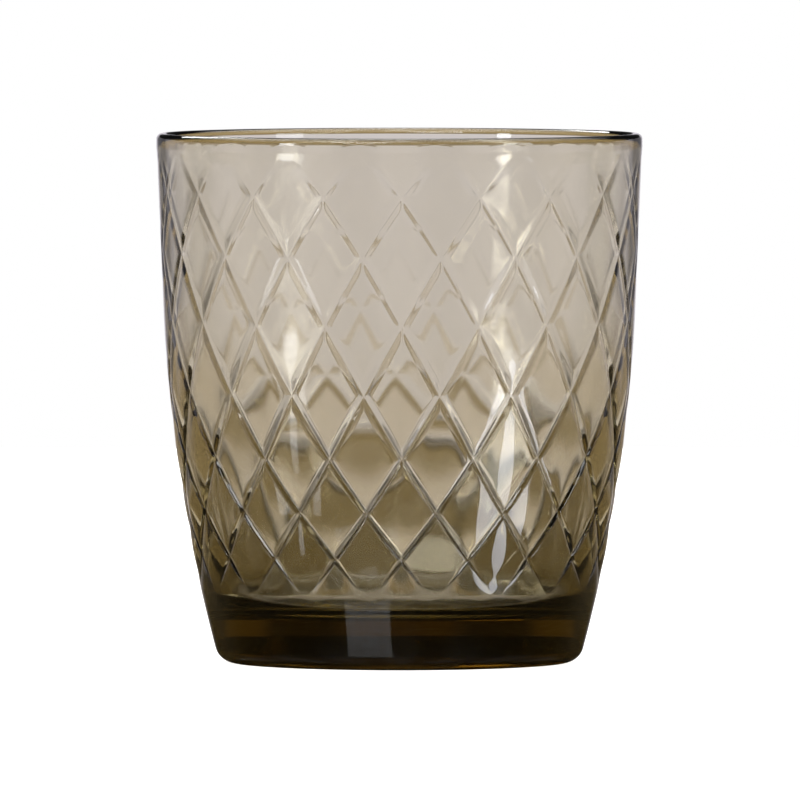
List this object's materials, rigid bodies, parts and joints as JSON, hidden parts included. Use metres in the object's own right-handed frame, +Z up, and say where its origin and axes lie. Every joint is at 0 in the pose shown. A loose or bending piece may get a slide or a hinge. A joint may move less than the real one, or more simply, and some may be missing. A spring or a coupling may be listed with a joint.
{
  "type": "tumbler",
  "caption": "Short barrel-shaped drinking tumbler in smoky brown pressed glass, with a thick base and a diamond lattice of grooves round its wall.",
  "frame": {"origin": "middle of the foot, on the surface that the glass stands on", "axes": "+Z up along the glass's axis, -Y towards the viewer of the front, +X to the viewer's right"},
  "size_m": [0.085, 0.085, 0.0926],
  "materials": {
    "smoky_glass": "clear smoky brown pressed glass, fire-polished, smooth"
  },
  "bodies": {
    "root": {"tumbler": "smoky_glass"}
  },
  "joints": []
}
